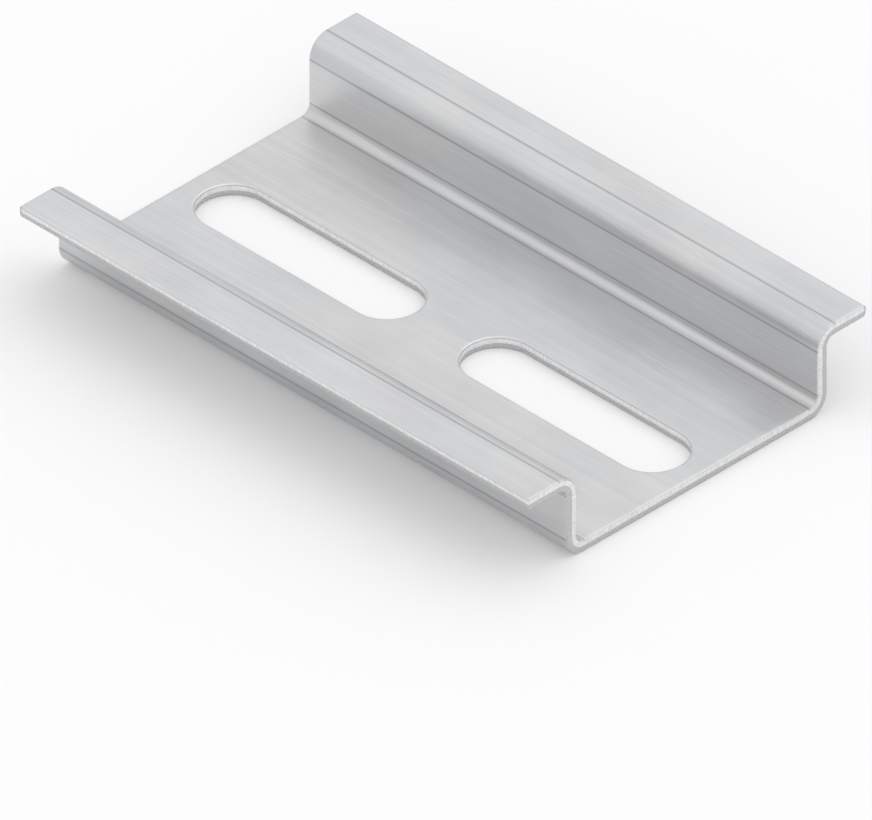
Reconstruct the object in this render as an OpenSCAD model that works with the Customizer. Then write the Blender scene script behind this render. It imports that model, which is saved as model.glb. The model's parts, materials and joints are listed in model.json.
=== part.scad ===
// Perforated top-hat DIN rail, 35 mm wide and 7.5 mm high.
// One strip of sheet steel: slotted in a press, roll-formed to a top hat, cut to length.
// X runs along the rail, Y across it and Z up from the back face that lies on the mounting plate.
// The origin is on the back face, at the middle of the length and of the width.

/* [Rail] */
// Length that the rail is cut to
rail_length = 52.8; // [30:0.1:1000]
// Width over both flanges
rail_width = 35; // [34:0.1:36]
// Height from the back face to the top of the flanges
rail_height = 7.5; // [7:0.1:15]
// Width over the outer faces of the two walls
hat_width = 27; // [26:0.1:28]
// Thickness of the sheet
sheet = 1; // [0.8:0.1:1.5]

/* [Bends and edges] */
// Inside radius of the four bends
bend_inside = 0.8; // [0.3:0.1:1]
// Radius on the long edges of the strip
edge_radius = 0.2; // [0.1:0.05:0.35]

/* [Slots] */
// Length of a slot, end to end
slot_length = 21.7; // [12:0.1:25]
// Width of a slot
slot_width = 5.8; // [4.2:0.1:6.5]
// Distance from one slot to the next, middle to middle
slot_pitch = 27.5; // [27.5:0.5:40]
// Least strip of metal left between a slot and the end of the rail
end_web_min = 1.5; // [1:0.1:4]
// Depth of the rounding that the punch leaves round a slot's top edge
punch_roll = 0.15; // [0.05:0.05:0.25]

/* [Hidden] */

$fn = 96;
overlap = 0.5; // how far a cutter stands past the metal that it cuts

bend_outside = bend_inside + sheet;
flange_flat = (rail_width - hat_width) / 2 - bend_inside;
base_flat = hat_width - 2 * bend_outside;
slot_count = floor((rail_length - 2 * end_web_min - slot_length) / slot_pitch) + 1;

// A quarter of a bend, from its centre out into the +X +Y quadrant
module bend() {
    intersection() {
        difference() {
            circle(bend_outside);
            circle(bend_inside);
        }
        square(bend_outside);
    }
}

// The flat of a flange, from the bend to the strip's rounded long edge
module flange() {
    square([flange_flat - edge_radius, sheet]);
    translate([flange_flat - edge_radius, edge_radius])
        square([edge_radius, sheet - 2 * edge_radius]);
    for (level = [edge_radius, sheet - edge_radius])
        translate([flange_flat - edge_radius, level])
            circle(edge_radius);
}

// Half of the section, from the middle of the base out to one flange
module half_section() {
    square([base_flat / 2, sheet]);
    translate([base_flat / 2, bend_outside])
        mirror([0, 1]) bend();
    translate([hat_width / 2 - sheet, bend_outside])
        square([sheet, rail_height - 2 * bend_outside]);
    translate([hat_width / 2 + bend_inside, rail_height - bend_outside])
        mirror([1, 0]) bend();
    translate([hat_width / 2 + bend_inside, rail_height - sheet])
        flange();
}

module section() {
    half_section();
    mirror([1, 0]) half_section();
}

// Section of what the rounding takes off a top edge, with the slot's wall on the Y axis
module roll_section() {
    difference() {
        translate([-overlap, sheet - punch_roll])
            square([overlap + punch_roll, overlap + punch_roll]);
        translate([punch_roll, sheet - punch_roll])
            circle(punch_roll);
    }
}

// One stadium-shaped slot with the rounded top edge that the punch leaves, to be cut out of the base
module slot() {
    end_radius = slot_width / 2;
    straight = slot_length - slot_width;
    for (turn = [0, 180])
        rotate([0, 0, turn]) {
            translate([straight / 2, 0, -overlap])
                cylinder(r = end_radius, h = sheet + 2 * overlap);
            translate([straight / 2, 0, 0])
                rotate([0, 0, -90])
                    rotate_extrude(angle = 180)
                        translate([end_radius, 0]) roll_section();
            translate([-straight / 2, end_radius, 0])
                rotate([90, 0, 90])
                    linear_extrude(straight) roll_section();
        }
    translate([-straight / 2, -end_radius, -overlap])
        cube([straight, slot_width, sheet + 2 * overlap]);
}

// The places of the slots along the rail, centred on its middle
function slot_places() =
    [for (i = [0 : slot_count - 1]) (i - (slot_count - 1) / 2) * slot_pitch];

module din_rail() {
    color("gainsboro")
    difference() {
        translate([-rail_length / 2, 0, 0])
            rotate([90, 0, 90])
                linear_extrude(rail_length) section();
        for (x = slot_places())
            translate([x, 0, 0]) slot();
    }
}

din_rail();
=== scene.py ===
"""The finish of a slotted top-hat DIN rail: one strip of zinc-plated sheet steel, new and clean.

The strip is made as the works make it. Geometry Nodes lay out the flat blank one slot at a time, give each
cut edge the shape that the punch, the slitter or the shear leaves, and roll-form the blank into a top hat.
Two finishes cover it: the rolled skin of the sheet, and the cut through the sheet, which has a bright
burnished band above a grainy break. X runs along the rail, Y across it and Z up. All sizes are in metres.
"""

import json
import math

import bpy
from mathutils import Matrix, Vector


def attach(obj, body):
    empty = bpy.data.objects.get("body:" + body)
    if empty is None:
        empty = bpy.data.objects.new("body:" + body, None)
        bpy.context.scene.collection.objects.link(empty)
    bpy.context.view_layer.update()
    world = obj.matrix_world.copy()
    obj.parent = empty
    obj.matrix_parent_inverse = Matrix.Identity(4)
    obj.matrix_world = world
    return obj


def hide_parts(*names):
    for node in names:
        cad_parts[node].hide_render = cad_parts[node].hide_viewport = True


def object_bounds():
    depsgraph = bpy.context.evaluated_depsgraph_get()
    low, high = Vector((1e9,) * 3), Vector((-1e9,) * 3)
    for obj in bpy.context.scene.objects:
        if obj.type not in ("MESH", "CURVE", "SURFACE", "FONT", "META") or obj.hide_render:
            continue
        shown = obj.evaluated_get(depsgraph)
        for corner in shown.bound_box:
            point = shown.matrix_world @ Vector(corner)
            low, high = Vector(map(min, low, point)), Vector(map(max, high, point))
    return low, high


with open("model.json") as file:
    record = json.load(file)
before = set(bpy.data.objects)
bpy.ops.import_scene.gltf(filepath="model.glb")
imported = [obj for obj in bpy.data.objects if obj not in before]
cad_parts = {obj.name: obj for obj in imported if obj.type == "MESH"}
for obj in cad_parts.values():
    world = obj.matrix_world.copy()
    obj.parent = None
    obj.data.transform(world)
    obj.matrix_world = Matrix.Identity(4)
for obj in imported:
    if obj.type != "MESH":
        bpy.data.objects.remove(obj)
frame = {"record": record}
cad_low, cad_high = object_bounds()

MM = 0.001

# ---------------------------------------------------------------- sizes that the frame gives

MOUNTS = {mount["name"]: mount for mount in frame["record"]["mounts"]}
SLOTS = MOUNTS["fixing_slots"]["dims"]
RAIL_LENGTH, RAIL_WIDTH, RAIL_HEIGHT = cad_high - cad_low
SHEET = MOUNTS["seat_face_left"]["pos_m"][2] - MOUNTS["hook_face_left"]["pos_m"][2]
SLOT_END_RADIUS = SLOTS["hole_r_mm"] * MM
SLOT_LENGTH = SLOTS["slot_length_mm"] * MM
SLOT_PITCH = SLOTS["spacing_x_mm"] * MM
SLOT_COUNT = SLOTS["count"]

# ---------------------------------------------------------------- sizes of the section and of its cut edges

HAT_WIDTH = 27 * MM
BEND_INSIDE = 0.8 * MM
SLIT_RADIUS = 0.2 * MM  # rounding on the strip's long edges
PUNCH_ROLL = 0.15 * MM  # rounding that the punch draws round the top of a slot
PUNCH_BREAK = 0.04 * MM  # broken edge at the foot of a slot
SHEAR_ROLL = 0.09 * MM  # rounding that the shear draws over at an end
SHEAR_BREAK = 0.04 * MM
BREAK_TAPER = 0.035 * MM  # how far the broken part of a cut leans back into the metal
BREAK_GRAIN = 0.012 * MM  # height of the torn grain in the break
BREAK_PATCHES = 9000  # patches of torn grain in a metre
BREAK_SHIFT = 500  # and how many more in each row further down
BURNISH_SHARE = 0.46  # share of the cut that the blade leaves burnished
BURNISH_WANDER = 0.09 * MM  # how far the line between burnish and break wanders
WANDER_PATCHES = 700  # stretches in a metre over which it wanders

BEND_MIDDLE = BEND_INSIDE + SHEET / 2
BEND_RUN = BEND_MIDDLE * math.pi / 2
BASE_HALF = HAT_WIDTH / 2 - SHEET - BEND_INSIDE
WALL_RUN = RAIL_HEIGHT - 2 * (SHEET + BEND_INSIDE)
FLANGE_RUN = (RAIL_WIDTH - HAT_WIDTH) / 2 - BEND_INSIDE

# ---------------------------------------------------------------- how finely the blank is divided

ARC_STEPS = 12  # in an eighth of a turn round a slot's end
STRAIGHT_STEPS = 18  # along a slot's straight side
LANE_STEPS = 2 * ARC_STEPS + STRAIGHT_STEPS  # along one pitch of the rail
RING_STEPS = 7  # from a slot's rim out to the edge of the base
RING_CROWDING = 1.4  # how much closer the rings lie near the rim
BEND_STEPS = 16
WALL_STEPS = 4
FLANGE_STEPS = 4
ROLL_STEPS = 4  # over a rounded edge at the top
FOOT_STEPS = 2  # round the foot of a cut
BREAK_STEPS = 3  # down the broken part of a cut
SLOT_HOLD = PUNCH_ROLL + 0.1 * MM  # narrow first ring round a slot, which keeps the base beside it flat
SIDE_HOLD = SLIT_RADIUS + 0.1 * MM  # narrow last row beside a long edge
NEAR = 0.001 * MM  # points closer than this are one point
ON_OUTLINE = 0.75  # what a field that is 1 on an outline has to pass; edges that only end there have 0.5

SHEET_MAP = "sheet_map"  # along the rail, and across the flat blank
UNDERSIDE = 100 * MM  # how far the map of the underside is set off from that of the top
CUT_ZONE = "cut_zone"  # what the tool left on a face:
SKIN, BURNISH, BREAK = 0.0, 1.0, 2.0
PLACE = "blank_place"  # where a point lies on the flat blank
SLOT_WAY = "blank_slot_way"  # the way from a slot's rim into the slot
SLOT_RUN = "blank_slot_run"  # how far round its slot a point lies
ONLY_ON_BLANK = "blank_*"

# ---------------------------------------------------------------- the rolled skin

# Each kind of grain is given by its patches in a metre, along the rail and across it.
ROLLED_LINES = (30, 6500)
ROLLED_STREAKS = (7, 1100)
PLATING_CLOUDS = (110, 190)
PLATING_TINT = (45, 60)
HAIRLINES = (120, 7000)
HAIRLINE_SETS = ((5, 0.3), (-9, 0.7))  # degrees that each set lies askew, and its layer in the noise
NOISE_MIDDLE = 0.5

METALLIC = 0.9
ZINC_COOL = (0.57, 0.585, 0.61, 1), (0.715, 0.725, 0.74, 1)  # its darker and its lighter tone
ZINC_WARM = (0.585, 0.585, 0.595, 1), (0.73, 0.725, 0.72, 1)
TINT_FADE = (0.35, 0.65)  # the stretch of noise over which cool turns to warm
TONE_FADE = (0.28, 0.72)  # and the one over which dark turns to light
TONE_BY_LINES, TONE_BY_STREAKS, TONE_BY_CLOUDS, TONE_BY_BENDS = 0.4, 0.2, 0.4, -0.2

LINE_WIDTH = 0.12 * MM  # half the width of the line that a roll presses in beside a bend, which is also painted dark as a shade line
# colour of the pressed lines: partly the roll line's own darker colour, partly painted shade along the starts
# and ends of the bends
PRESSED_AND_SHADE_LINE = (0.3, 0.31, 0.33, 1)
PRESSED_AND_SHADE_SHARE = 0.62  # how strongly its colour shows, the real line and its painted shade together
HAIRLINE = (0.8, 0.8, 0.8, 1)
HAIRLINE_SHARE = 0.35
HAIRLINE_FADE = (0.76, 0.83)  # only the peaks of the noise are hairlines

ZINC_ROUGHNESS = 0.36
ROUGH_BY_LINES, ROUGH_BY_CLOUDS, ROUGH_BY_BENDS, ROUGH_BY_PRESSED = 0.14, 0.2, 0.04, -0.05
ZINC_RELIEF = 0.0045 * MM
RAISED_BY_LINES, RAISED_BY_STREAKS, RAISED_BY_PRESSED, RAISED_BY_HAIRLINES = 0.7, 0.3, -0.5, -0.4

# ---------------------------------------------------------------- the cut through the sheet

CUT_LINES = (7000, 400)  # patches in a metre, along the cut and up it
CUT_GRAIN = (7500, 7500)
CUT_FADE = (0.3, 0.7)
BURNISHED_STEEL = (0.7, 0.705, 0.71, 1), (0.86, 0.86, 0.86, 1)
BROKEN_STEEL = (0.46, 0.465, 0.475, 1), (0.66, 0.66, 0.66, 1)
BURNISHED_ROUGHNESS, BROKEN_ROUGHNESS, ROUGH_BY_TONE = 0.27, 0.51, 0.1
CUT_RELIEF = 0.012 * MM
RAISED_BY_CUT_LINES = 0.4

# ---------------------------------------------------------------- studio

VIEW_WIDTH = 64 * MM  # what the camera takes in from side to side
VIEW_BELOW, VIEW_LEFT = 8.27 * MM, 0.5 * MM  # the middle of the view, from the middle of the rail
VIEW_DISTANCE = 0.5
FLOOR_HALF = 3.0
FLOOR_GAP = 0.02 * MM
PAPER = (0.8, 0.8, 0.8, 1)
WHITE = (1, 1, 1, 1)
SEEN_WHITE = 0.98  # how white the backdrop looks
PAPER_LIFT = 0.11  # what brings the paper, where it is seen, up to the backdrop
SKY_AT_HORIZON = 0.66
SKY_RISE, RISE_FADE = 0.34, (-0.1, 0.8)  # what the sky gains on its way up, and between which heights
SKY_FRONT, FRONT_FADE = 0.1, (0.2, -0.8)  # what it gains towards the front


class Socket:
    """A node's output. Operators on it add the Math nodes of the expression."""

    def __init__(self, tree, output):
        self.tree = tree
        self.output = output

    def math(self, operation, *terms, clamp=False):
        settings = {"operation": operation, "use_clamp": clamp}
        return self.tree.add("ShaderNodeMath", settings, dict(enumerate(terms)))

    def __add__(self, other):
        return self.math("ADD", self, other)

    def __sub__(self, other):
        return self.math("SUBTRACT", self, other)

    def __rsub__(self, other):
        return self.math("SUBTRACT", other, self)

    def __mul__(self, other):
        return self.math("MULTIPLY", self, other)

    def __truediv__(self, other):
        return self.math("DIVIDE", self, other)

    def __rtruediv__(self, other):
        return self.math("DIVIDE", other, self)

    def __pow__(self, other):
        return self.math("POWER", self, other)

    def __rpow__(self, other):
        return self.math("POWER", other, self)

    def __gt__(self, other):
        return self.math("GREATER_THAN", self, other)

    def __lt__(self, other):
        return self.math("LESS_THAN", self, other)

    def __abs__(self):
        return self.math("ABSOLUTE", self)

    __radd__ = __add__
    __rmul__ = __mul__

    def least(self, other):
        return self.math("MINIMUM", self, other)

    def most(self, other):
        return self.math("MAXIMUM", self, other)

    def sign(self):
        return self.math("SIGN", self)

    def sine(self):
        return self.math("SINE", self)

    def cosine(self):
        return self.math("COSINE", self)

    def ramp(self, start, run):
        """0 up to start, and then evenly up to 1 over run."""
        return self.math("MULTIPLY_ADD", self, 1 / run, -start / run, clamp=True)

    def smooth(self, low, high):
        """0 at low and 1 at high, with soft ends. It falls where low is above high."""
        inputs = {"Value": self, "From Min": low, "From Max": high}
        return self.tree.add("ShaderNodeMapRange", {"interpolation_type": "SMOOTHSTEP"}, inputs)

    def beside(self, name):
        """Another output of the same node."""
        return Socket(self.tree, self.output.node.outputs[name])

    def parts(self):
        """The three parts of a vector."""
        split = self.tree.add("ShaderNodeSeparateXYZ", inputs={0: self})
        return split, split.beside("Y"), split.beside("Z")


class Tree:
    """A node tree, to which nodes are added one at a time."""

    def __init__(self, tree):
        self.tree = tree

    def add(self, kind, settings=None, inputs=None):
        """Adds a node and gives its first output.

        Its settings are set first. Its inputs, by name or number, are then given values or links. A list
        holds several links into one input.
        """
        node = self.tree.nodes.new(kind)
        for name, value in (settings or {}).items():
            setattr(node, name, value)
        for key, given in (inputs or {}).items():
            for value in given if isinstance(given, list) else [given]:
                if isinstance(value, Socket):
                    self.tree.links.new(value.output, node.inputs[key])
                else:
                    node.inputs[key].default_value = value
        shown = [output for output in node.outputs if output.enabled]
        return Socket(self, shown[0]) if shown else None

    def vector(self, x=0.0, y=0.0, z=0.0):
        return self.add("ShaderNodeCombineXYZ", inputs={"X": x, "Y": y, "Z": z})

    def vector_math(self, operation, first, second=0.0):
        second_input = "Scale" if operation == "SCALE" else 1
        inputs = {0: first} if operation == "LENGTH" else {0: first, second_input: second}
        return self.add("ShaderNodeVectorMath", {"operation": operation}, inputs)

    def noise(self, place, scale=1.0, detail=2.0, roughness=0.5):
        """Soft noise round 0.5, at a place given by a vector."""
        inputs = {"Vector": place, "Scale": scale, "Detail": detail, "Roughness": roughness}
        return self.add("ShaderNodeTexNoise", inputs=inputs)

    def grain(self, along, across, patches, detail=2.0, roughness=0.5, layer=0.0):
        """Noise with so many patches in a metre along and across."""
        place = self.vector(along * patches[0], across * patches[1], layer)
        return self.noise(place, detail=detail, roughness=roughness)

    def mix_colour(self, share, first, second):
        """From the first colour to the second by share. Inputs 6 and 7 are the ones for colours."""
        return self.add("ShaderNodeMix", {"data_type": "RGBA"}, {0: share, 6: first, 7: second})


# ---------------------------------------------------------------- the strip, by Geometry Nodes

STRIP_INPUTS = {
    "Rail length": RAIL_LENGTH,
    "Sheet": SHEET,
    "Base half": BASE_HALF,
    "Wall run": WALL_RUN,
    "Flange run": FLANGE_RUN,
    "Bend radius": BEND_MIDDLE,
    "Slot length": SLOT_LENGTH,
    "Slot end radius": SLOT_END_RADIUS,
    "Slot pitch": SLOT_PITCH,
    "Slot count": SLOT_COUNT,
    "Seed": 7,
}


class Blank(Tree):
    """The tree that makes the strip: its named inputs, and the steps that geometry goes through."""

    def __init__(self):
        super().__init__(bpy.data.node_groups.new("press_and_roll_form", "GeometryNodeTree"))
        for name, value in STRIP_INPUTS.items():
            kind = "NodeSocketInt" if isinstance(value, int) else "NodeSocketFloat"
            self.tree.interface.new_socket(name, in_out="INPUT", socket_type=kind)
        self.tree.interface.new_socket("Strip", in_out="OUTPUT", socket_type="NodeSocketGeometry")
        entry = self.add("NodeGroupInput")
        self.size = {name: entry.beside(name) for name in STRIP_INPUTS}
        self.bend_run = self.size["Bend radius"] * (math.pi / 2)

    def position(self):
        return self.add("GeometryNodeInputPosition")

    def facing(self):
        return self.add("GeometryNodeInputNormal")

    def read(self, name, kind="FLOAT"):
        return self.add("GeometryNodeInputNamedAttribute", {"data_type": kind}, {"Name": name})

    def store(self, geometry, name, value, kind="FLOAT", domain="POINT", only=True):
        settings = {"data_type": kind, "domain": domain}
        inputs = {"Geometry": geometry, "Selection": only, "Name": name, "Value": value}
        return self.add("GeometryNodeStoreNamedAttribute", settings, inputs)

    def place(self, geometry, position, only=True):
        inputs = {"Geometry": geometry, "Selection": only, "Position": position}
        return self.add("GeometryNodeSetPosition", inputs=inputs)

    def flip(self, mesh, only=True):
        return self.add("GeometryNodeFlipFaces", inputs={"Mesh": mesh, "Selection": only})

    def join(self, pieces):
        return self.add("GeometryNodeJoinGeometry", inputs={"Geometry": pieces})

    def counted_grid(self, across, up):
        """A grid of across by up faces, and the counts of its columns and rows as fields."""
        inputs = {"Size X": across, "Size Y": up, "Vertices X": across + 1, "Vertices Y": up + 1}
        grid = self.add("GeometryNodeMeshGrid", inputs=inputs)
        column, row, _ = self.position().parts()
        return grid, column + across / 2, row + up / 2


def along_lane(blank, lane):
    """Where a column lies along one pitch of the rail: beside the slot's straight side, or past it."""
    pitch = blank.size["Slot pitch"]
    straight = blank.size["Slot length"] - 2 * blank.size["Slot end radius"]
    past_straight = (pitch - straight) / 2
    ends = lane.ramp(0, ARC_STEPS) + lane.ramp(ARC_STEPS + STRAIGHT_STEPS, ARC_STEPS)
    return past_straight * ends + straight * lane.ramp(ARC_STEPS, STRAIGHT_STEPS) - pitch / 2


def base_round_slot(blank):
    """The flat base round one slot: a grid wrapped round the slot, from its rim to the edge of the base."""
    short = 2 * ARC_STEPS
    grid, lap, row = blank.counted_grid(2 * (LANE_STEPS + short), RING_STEPS)
    radius = blank.size["Slot end radius"]
    straight = blank.size["Slot length"] - 2 * radius

    # the rim: four quarter turns, with a straight side after the first and after the third
    first_side = lap.ramp(short, STRAIGHT_STEPS)
    second_side = lap.ramp(2 * short + LANE_STEPS, STRAIGHT_STEPS)
    starts = (0, short + STRAIGHT_STEPS, short + LANE_STEPS, 2 * (short + STRAIGHT_STEPS) + short)
    angle = sum(lap.ramp(start, short) for start in starts) * (math.pi / 2)
    cosine, sine = angle.cosine(), angle.sine()
    off_rim = row.ramp(0, 1)
    held = radius + SLOT_HOLD * off_rim
    rim_x = straight * (1 / 2 - first_side + second_side) + held * cosine
    rim_y = held * sine

    # the edge of the base: half an end, one long side, a whole end, the other long side and half an end
    first_lane = lap.ramp(ARC_STEPS, LANE_STEPS)
    second_lane = lap.ramp(ARC_STEPS + LANE_STEPS + short, LANE_STEPS)
    edge_x = along_lane(blank, LANE_STEPS * (1 - first_lane + second_lane))
    rise = lap.ramp(0, ARC_STEPS) - 2 * lap.ramp(ARC_STEPS + LANE_STEPS, short)
    edge_y = blank.size["Base half"] * (rise + lap.ramp(ARC_STEPS + 2 * LANE_STEPS + short, ARC_STEPS))

    inwards = off_rim - 1
    way = blank.vector(cosine * inwards, sine * inwards)
    grid = blank.store(grid, SLOT_WAY, way, "FLOAT_VECTOR")
    grid = blank.store(grid, SLOT_RUN, angle * radius + straight * (first_side + second_side))
    out = row.ramp(1, RING_STEPS - 1) ** RING_CROWDING
    return blank.place(grid, blank.vector(rim_x + (edge_x - rim_x) * out, rim_y + (edge_y - rim_y) * out))


def side_of_base(blank, side):
    """The flat strip beside the base that becomes a bend, the wall, a second bend and the flange."""
    rows = 2 * BEND_STEPS + WALL_STEPS + FLANGE_STEPS
    grid, lane, row = blank.counted_grid(LANE_STEPS, rows + 1)
    second_bend = BEND_STEPS + WALL_STEPS
    across = (
        blank.size["Base half"]
        + blank.bend_run * (row.ramp(0, BEND_STEPS) + row.ramp(second_bend, BEND_STEPS))
        + blank.size["Wall run"] * row.ramp(BEND_STEPS, WALL_STEPS)
        + (blank.size["Flange run"] - SIDE_HOLD) * row.ramp(second_bend + BEND_STEPS, FLANGE_STEPS)
        + SIDE_HOLD * row.ramp(rows, 1)
    )
    return blank.place(grid, blank.vector(along_lane(blank, lane), across * side))


def flat_blank(blank):
    """The whole blank, flat and without thickness, with its outline and its slots at their true size."""
    pitch, count = blank.size["Slot pitch"], blank.size["Slot count"]
    one_pitch = blank.join([base_round_slot(blank), side_of_base(blank, 1), side_of_base(blank, -1)])
    first = blank.vector((1 - count) * pitch / 2)
    line = {"Count": count, "Start Location": first, "Offset": blank.vector(pitch)}
    places = blank.add("GeometryNodeMeshLine", inputs=line)
    pitches = blank.add("GeometryNodeInstanceOnPoints", inputs={"Points": places, "Instance": one_pitch})
    flat = blank.add("GeometryNodeRealizeInstances", inputs={"Geometry": pitches})

    # the rail is cut off nearer to its last slots than halfway to the next ones
    x, y, _ = blank.position().parts()
    slot_tip = (count * pitch - pitch + blank.size["Slot length"]) / 2
    web_share = (blank.size["Rail length"] / 2 - slot_tip) / (count * pitch / 2 - slot_tip)
    past_tip = (abs(x) - slot_tip).most(0)
    flat = blank.place(flat, blank.vector(x - x.sign() * past_tip * (1 - web_share), y))
    _, _, up = blank.facing().parts()
    flat = blank.flip(flat, only=up < 0)  # the grids that were wrapped the other way round
    return blank.store(flat, PLACE, blank.position(), "FLOAT_VECTOR")


class Outline:
    """Fields that tell, from a point's place on the blank, on which cut it lies and how that is rounded."""

    def __init__(self, blank):
        self.blank = blank
        self.place = blank.read(PLACE, "FLOAT_VECTOR")
        self.x, self.y, _ = self.place.parts()
        size = blank.size
        half_width = size["Base half"] + 2 * blank.bend_run + size["Wall run"] + size["Flange run"]
        self.at_end = abs(self.x) > size["Rail length"] / 2 - NEAR
        self.at_side = abs(self.y) > half_width - NEAR
        self.slot_way = blank.read(SLOT_WAY, "FLOAT_VECTOR")
        self.at_slot = blank.vector_math("LENGTH", self.slot_way) > ON_OUTLINE
        self.at_cut = self.at_end + self.at_side + self.at_slot > ON_OUTLINE
        self.outwards = self.step_out(1, 1, 1)
        self.roll, self.roll_drop = self.rounding(PUNCH_ROLL, SHEAR_ROLL, SLIT_RADIUS)
        self.foot, self.foot_drop = self.rounding(PUNCH_BREAK, SHEAR_BREAK, SLIT_RADIUS)

    def step_out(self, slot, end, side):
        """A step outwards, off the metal, by its own distance on each kind of edge."""
        end_step = self.x.sign() * self.at_end * end
        side_step = self.y.sign() * self.at_side * side
        slot_step = self.blank.vector_math("SCALE", self.slot_way, slot)
        return self.blank.vector_math("ADD", slot_step, self.blank.vector(end_step, side_step))

    def rounding(self, slot, end, side):
        """The rounding of each kind of edge: as a step outwards, and as a depth."""
        depth = (self.at_slot * slot).most(self.at_end * end).most(self.at_side * side)
        return self.step_out(slot, end, side), depth

    def inside(self, rounding, share, height, lean=0.0):
        """A point at a height in the sheet, set back from the outline by a share of a rounding and a lean."""
        back = self.blank.vector_math("SCALE", rounding, share)
        back = self.blank.vector_math("ADD", back, self.blank.vector_math("SCALE", self.outwards, lean))
        flat = self.blank.vector_math("SUBTRACT", self.place, back)
        return self.blank.vector_math("ADD", flat, self.blank.vector(z=height))


def cut_profile(blank, outline):
    """The rows of points down a cut, from the top: the place of each, and the zone of the faces above it."""
    sheet, roll_drop, foot_drop = blank.size["Sheet"], outline.roll_drop, outline.foot_drop
    rows = []
    for step in range(1, ROLL_STEPS + 1):
        turn = math.pi / 2 * step / ROLL_STEPS
        height = sheet - roll_drop * (1 - math.cos(turn))
        rows.append((outline.inside(outline.roll, 1 - math.sin(turn), height), SKIN))

    seeded = blank.vector_math("ADD", outline.place, blank.vector(z=blank.size["Seed"]))
    wander = (blank.noise(seeded, scale=WANDER_PATCHES, detail=3) - NOISE_MIDDLE) * (2 * BURNISH_WANDER)
    wall = sheet - roll_drop - foot_drop
    burnish_foot = sheet - roll_drop - wall * BURNISH_SHARE + wander
    rows.append((outline.inside(outline.roll, 0, burnish_foot), BURNISH))

    for step in range(1, BREAK_STEPS + 1):
        share = step / BREAK_STEPS
        height = burnish_foot + (foot_drop - burnish_foot) * share
        torn = blank.noise(seeded, scale=BREAK_PATCHES + BREAK_SHIFT * step, detail=1) - NOISE_MIDDLE
        lean = BREAK_TAPER * share + torn * (2 * BREAK_GRAIN * (step < BREAK_STEPS))
        rows.append((outline.inside(outline.foot, 0, height, lean), BREAK))

    for step in range(1, FOOT_STEPS + 1):
        turn = math.pi / 2 * step / FOOT_STEPS
        height = foot_drop * (1 - math.sin(turn))
        rows.append((outline.inside(outline.foot, 1 - math.cos(turn), height, BREAK_TAPER), BREAK))
    return rows


def cut_map(blank, outline, zone):
    """The map of a cut's faces: that of the skin where it is drawn over, or else along the cut and up it."""
    x, y, height = blank.position().parts()
    if zone == SKIN:
        return blank.vector(x, y)
    facing_x, facing_y, _ = blank.facing().parts()
    end_face = abs(facing_x) > abs(facing_y)
    run = y * end_face + x * (1 - end_face)
    slot_run = blank.read(SLOT_RUN)
    return blank.vector(run + (slot_run - run) * outline.at_slot, height)


def solid_blank(blank, flat, outline):
    """The flat blank as a solid sheet, with each cut as its tool leaves it, mapped for the finishes."""
    top = blank.place(flat, outline.inside(outline.roll, 1, blank.size["Sheet"]))
    top = blank.store(top, CUT_ZONE, SKIN, domain="FACE")
    top = blank.store(top, SHEET_MAP, outline.place, "FLOAT2", "CORNER")

    rim = outline.at_cut
    for place, zone in cut_profile(blank, outline):
        inputs = {"Mesh": top, "Selection": rim, "Offset Scale": 0.0}
        top = blank.add("GeometryNodeExtrudeMesh", {"mode": "EDGES"}, inputs)
        rim, faces = top.beside("Top"), top.beside("Side")
        top = blank.place(top, place, only=rim)
        top = blank.store(top, CUT_ZONE, zone, domain="FACE", only=faces)
        top = blank.store(top, SHEET_MAP, cut_map(blank, outline, zone), "FLOAT2", "CORNER", only=faces)

    under = blank.flip(blank.place(flat, outline.inside(outline.foot, 1, 0.0, BREAK_TAPER)))
    under = blank.store(under, CUT_ZONE, SKIN, domain="FACE")
    set_off = blank.vector_math("ADD", outline.place, blank.vector(y=UNDERSIDE))
    under = blank.store(under, SHEET_MAP, set_off, "FLOAT2", "CORNER")
    return blank.join([top, under])


def roll_formed(blank, flat_solid):
    """Bends the flat solid into the top hat. Along the middle of the sheet, distances stay as they were."""
    radius, sheet = blank.size["Bend radius"], blank.size["Sheet"]
    base, wall = blank.size["Base half"], blank.size["Wall run"]
    x, across, height = blank.position().parts()
    run = abs(across)
    off_middle = height - sheet / 2
    first_turn = ((run - base) / radius).most(0).least(math.pi / 2)
    second_turn = ((run - base - blank.bend_run - wall) / radius).most(0).least(math.pi / 2)
    rise = (run - base - blank.bend_run).most(0).least(wall)
    flange = (run - base - 2 * blank.bend_run - wall).most(0)
    lean = first_turn - second_turn
    out = run.least(base) + radius * (first_turn.sine() + 1 - second_turn.cosine()) + flange
    up = sheet / 2 + radius * (1 - first_turn.cosine() + second_turn.sine()) + rise
    y = across.sign() * (out - off_middle * lean.sine())
    return blank.place(flat_solid, blank.vector(x, y, up + off_middle * lean.cosine()))


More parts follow.
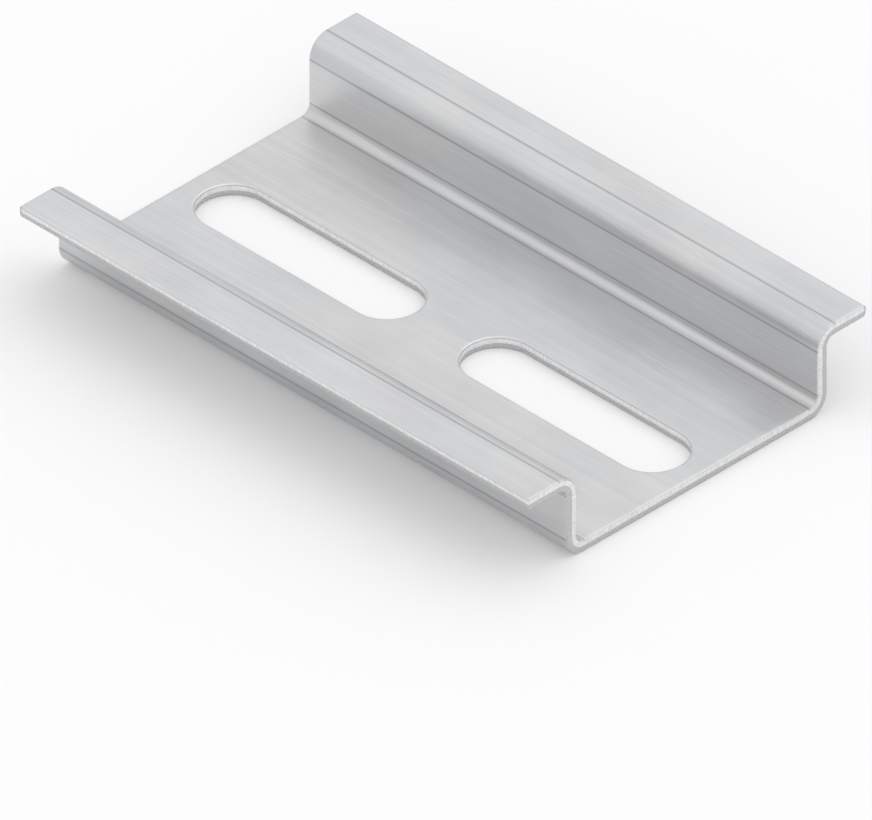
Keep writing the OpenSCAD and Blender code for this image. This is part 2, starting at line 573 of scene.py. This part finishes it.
def strip_tree(skin, cut):
    """The tree of the whole strip, with its two finishes."""
    blank = Blank()
    solid = solid_blank(blank, flat_blank(blank), Outline(blank))
    strip = roll_formed(blank, solid)
    strip = blank.add("GeometryNodeMergeByDistance", inputs={"Geometry": strip, "Distance": NEAR})
    wildcard = {"pattern_mode": "WILDCARD"}
    strip = blank.add("GeometryNodeRemoveAttribute", wildcard, {"Geometry": strip, "Name": ONLY_ON_BLANK})
    strip = blank.add("GeometryNodeSetShadeSmooth", inputs={"Geometry": strip, "Shade Smooth": True})
    strip = blank.add("GeometryNodeRealizeInstances", inputs={"Geometry": strip})
    strip = blank.add("GeometryNodeSetMaterial", inputs={"Geometry": strip, "Material": skin})
    in_cut = blank.read(CUT_ZONE) > (SKIN + BURNISH) / 2
    inputs = {"Geometry": strip, "Selection": in_cut, "Material": cut}
    strip = blank.add("GeometryNodeSetMaterial", inputs=inputs)
    blank.add("NodeGroupOutput", inputs={"Strip": strip})
    return blank.tree


def rail_strip(skin, cut):
    """The strip as one plain mesh, smooth over its rounded edges and true on its flats."""
    maker = bpy.data.objects.new("strip_maker", bpy.data.meshes.new("strip_maker"))
    bpy.context.scene.collection.objects.link(maker)
    forming = maker.modifiers.new("press_and_roll_form", "NODES")
    forming.node_group = strip_tree(skin, cut)
    for item in forming.node_group.interface.items_tree:
        if item.in_out == "INPUT":
            forming[item.identifier] = STRIP_INPUTS[item.name]
    maker.modifiers.new("true_flats", "WEIGHTED_NORMAL")
    evaluated = maker.evaluated_get(bpy.context.evaluated_depsgraph_get())
    mesh = bpy.data.meshes.new_from_object(evaluated)
    bpy.data.objects.remove(maker)
    mesh.name = "rail_strip"
    if mesh.materials[0] is None:
        mesh.materials.pop(index=0)  # the empty place that the tree leaves before its finishes
    strip = bpy.data.objects.new("rail_strip", mesh)
    bpy.context.scene.collection.objects.link(strip)
    return strip


# ---------------------------------------------------------------- finishes

def new_material(name):
    """An empty material and its tree."""
    material = bpy.data.materials.new(name)
    material.use_nodes = True
    material.node_tree.nodes.clear()
    return material, Tree(material.node_tree)


def metal_surface(nodes, colour, roughness, height, relief):
    """Metal with a colour and a roughness, and with a height that stands relief high."""
    bump = nodes.add("ShaderNodeBump", inputs={"Strength": 1.0, "Distance": relief, "Height": height})
    inputs = {"Base Color": colour, "Roughness": roughness, "Metallic": METALLIC, "Normal": bump}
    surface = nodes.add("ShaderNodeBsdfPrincipled", inputs=inputs)
    nodes.add("ShaderNodeOutputMaterial", inputs={"Surface": surface})


def bend_marks_and_shade_lines(nodes, across):
    """1 on the bends, and 1 on the fine lines that their rolls press in where a bend starts and ends. These
    lines are also painted darker, as painted shade lines.
    """
    spread = abs(across - UNDERSIDE * (across > UNDERSIDE / 2))
    on_bends, on_pressed_and_shade_lines = 0.0, 0.0
    for start in (BASE_HALF, BASE_HALF + BEND_RUN + WALL_RUN):
        from_middle = abs(spread - (start + BEND_RUN / 2))
        on_bends = from_middle.smooth(BEND_RUN / 2 + LINE_WIDTH, BEND_RUN / 2 - LINE_WIDTH) + on_bends
        on_pressed_and_shade_lines = abs(from_middle - BEND_RUN / 2).smooth(LINE_WIDTH, LINE_WIDTH / 4) + on_pressed_and_shade_lines
    return on_bends, on_pressed_and_shade_lines


def hairlines(nodes, along, across):
    """A few hairline marks from stacking and handling, each a little askew to the rail."""
    marks = 0.0
    for degrees, layer in HAIRLINE_SETS:
        sine, cosine = math.sin(math.radians(degrees)), math.cos(math.radians(degrees))
        run = along * cosine - across * sine
        off = across * cosine + along * sine
        marks = nodes.grain(run, off, HAIRLINES, detail=0, layer=layer).smooth(*HAIRLINE_FADE) + marks
    return marks


def rolled_skin():
    """The zinc-plated skin: satin and faintly clouded, with fine rolling lines and the marks of the bends,
    whose pressed lines also carry painted shade.
    """
    material, nodes = new_material("rolled_skin")
    along, across, _ = nodes.add("ShaderNodeUVMap", {"uv_map": SHEET_MAP}).parts()
    lines = nodes.grain(along, across, ROLLED_LINES, detail=4, roughness=0.6)
    streaks = nodes.grain(along, across, ROLLED_STREAKS, detail=3)
    clouds = nodes.grain(along, across, PLATING_CLOUDS, detail=4, roughness=0.55)
    warmth = nodes.grain(along, across, PLATING_TINT).smooth(*TINT_FADE)
    bends, pressed_and_shade_lines = bend_marks_and_shade_lines(nodes, across)
    hairs = hairlines(nodes, along, across)

    grain = lines * TONE_BY_LINES + streaks * TONE_BY_STREAKS + clouds * TONE_BY_CLOUDS
    tone = grain.smooth(*TONE_FADE) + bends * TONE_BY_BENDS
    cool = nodes.mix_colour(tone, *ZINC_COOL)
    warm = nodes.mix_colour(tone, *ZINC_WARM)
    colour = nodes.mix_colour(warmth, cool, warm)
    colour = nodes.mix_colour(hairs * HAIRLINE_SHARE, colour, HAIRLINE)
    # the pressed lines beside the bends: partly a real roll line, partly painted shade that darkens them
    colour = nodes.mix_colour(pressed_and_shade_lines * PRESSED_AND_SHADE_SHARE, colour, PRESSED_AND_SHADE_LINE)

    roughness = (
        ZINC_ROUGHNESS
        + (lines - NOISE_MIDDLE) * ROUGH_BY_LINES
        + (clouds - NOISE_MIDDLE) * ROUGH_BY_CLOUDS
        + bends * ROUGH_BY_BENDS
        + pressed_and_shade_lines * ROUGH_BY_PRESSED
    )
    rolled = lines * RAISED_BY_LINES + streaks * RAISED_BY_STREAKS
    height = rolled + pressed_and_shade_lines * RAISED_BY_PRESSED + hairs * RAISED_BY_HAIRLINES
    metal_surface(nodes, colour, roughness, height, ZINC_RELIEF)
    return material


def cut_face():
    """The cut through the sheet: a burnished band with fine lines up it, and a grainy break below."""
    material, nodes = new_material("cut_face")
    run, up, _ = nodes.add("ShaderNodeUVMap", {"uv_map": SHEET_MAP}).parts()
    zone = nodes.add("ShaderNodeAttribute", {"attribute_name": CUT_ZONE}).beside("Fac")
    broken = zone > (BURNISH + BREAK) / 2
    lines = nodes.grain(run, up, CUT_LINES, detail=3)
    torn = nodes.grain(run, up, CUT_GRAIN, detail=3, roughness=0.65)

    tone = (lines + (torn - lines) * broken).smooth(*CUT_FADE)
    burnished_colour = nodes.mix_colour(tone, *BURNISHED_STEEL)
    broken_colour = nodes.mix_colour(tone, *BROKEN_STEEL)
    colour = nodes.mix_colour(broken, burnished_colour, broken_colour)
    roughness = BURNISHED_ROUGHNESS + broken * (BROKEN_ROUGHNESS - BURNISHED_ROUGHNESS)
    roughness = roughness + (tone - NOISE_MIDDLE) * ROUGH_BY_TONE
    low_lines = lines * RAISED_BY_CUT_LINES
    height = low_lines + (torn - low_lines) * broken
    metal_surface(nodes, colour, roughness, height, CUT_RELIEF)
    return material


# ---------------------------------------------------------------- studio

def white_paper():
    """Pale paper that keeps the rail's shadow. Where the camera or the metal sees it, it is white."""
    material, nodes = new_material("white_paper")
    rays = nodes.add("ShaderNodeLightPath")
    seen = rays.most(rays.beside("Is Glossy Ray"))
    paper = nodes.add("ShaderNodeBsdfDiffuse", inputs={"Color": PAPER})
    lift = nodes.add("ShaderNodeEmission", inputs={"Color": WHITE, "Strength": seen * PAPER_LIFT})
    surface = nodes.add("ShaderNodeAddShader", inputs={0: paper, 1: lift})
    nodes.add("ShaderNodeOutputMaterial", inputs={"Surface": surface})
    return material


def studio_floor():
    """A plain level floor, just under the rail."""
    level = cad_low.z - FLOOR_GAP
    signs = ((-1, -1), (1, -1), (1, 1), (-1, 1))
    mesh = bpy.data.meshes.new("studio_floor")
    mesh.from_pydata([(x * FLOOR_HALF, y * FLOOR_HALF, level) for x, y in signs], [], [(0, 1, 2, 3)])
    mesh.materials.append(white_paper())
    floor = bpy.data.objects.new("studio_floor", mesh)
    bpy.context.scene.collection.objects.link(floor)


def studio_sky():
    """Soft light from all round, a little stronger from above and from the front. It is seen as white."""
    world = bpy.data.worlds.new("studio_sky")
    world.use_nodes = True
    world.node_tree.nodes.clear()
    nodes = Tree(world.node_tree)
    _, depth, height = nodes.add("ShaderNodeTexCoord").parts()
    glow = SKY_AT_HORIZON + SKY_RISE * height.smooth(*RISE_FADE) + SKY_FRONT * depth.smooth(*FRONT_FADE)
    seen = nodes.add("ShaderNodeLightPath")
    strength = glow + (SEEN_WHITE - glow) * seen
    sky = nodes.add("ShaderNodeBackground", inputs={"Color": WHITE, "Strength": strength})
    nodes.add("ShaderNodeOutputWorld", inputs={"Surface": sky})
    bpy.context.scene.world = world


def soft_lamp(name, strength, width, azimuth, elevation):
    """A lamp far off, so many degrees wide, in a direction from the rail. Azimuth 0 is in front, on -Y."""
    light = bpy.data.lights.new(name, "SUN")
    light.energy = strength
    light.angle = math.radians(width)
    turn, rise = math.radians(azimuth), math.radians(elevation)
    towards = Vector((math.sin(turn) * math.cos(rise), -math.cos(turn) * math.cos(rise), math.sin(rise)))
    lamp = bpy.data.objects.new(name, light)
    lamp.rotation_euler = towards.to_track_quat("Z", "Y").to_euler()
    bpy.context.scene.collection.objects.link(lamp)


def camera():
    """A camera without perspective, which looks equally along the rail, across it and down on it."""
    lens = bpy.data.cameras.new("camera")
    lens.type = "ORTHO"
    lens.ortho_scale = VIEW_WIDTH
    lens.clip_start = 1 * MM
    back = Vector((1, -1, 1)).normalized()
    turn = back.to_track_quat("Z", "Y")
    up, right = turn @ Vector((0, 1, 0)), turn @ Vector((1, 0, 0))
    holder = bpy.data.objects.new("camera", lens)
    holder.rotation_euler = turn.to_euler()
    holder.location = (cad_low + cad_high) / 2 + back * VIEW_DISTANCE - up * VIEW_BELOW - right * VIEW_LEFT
    bpy.context.scene.collection.objects.link(holder)
    bpy.context.scene.camera = holder


bpy.context.scene.view_settings.view_transform = "Standard"
camera()
studio_sky()
studio_floor()
soft_lamp("key", strength=0.45, width=70, azimuth=155, elevation=55)

strip = rail_strip(rolled_skin(), cut_face())
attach(strip, "root")
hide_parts("din_rail")
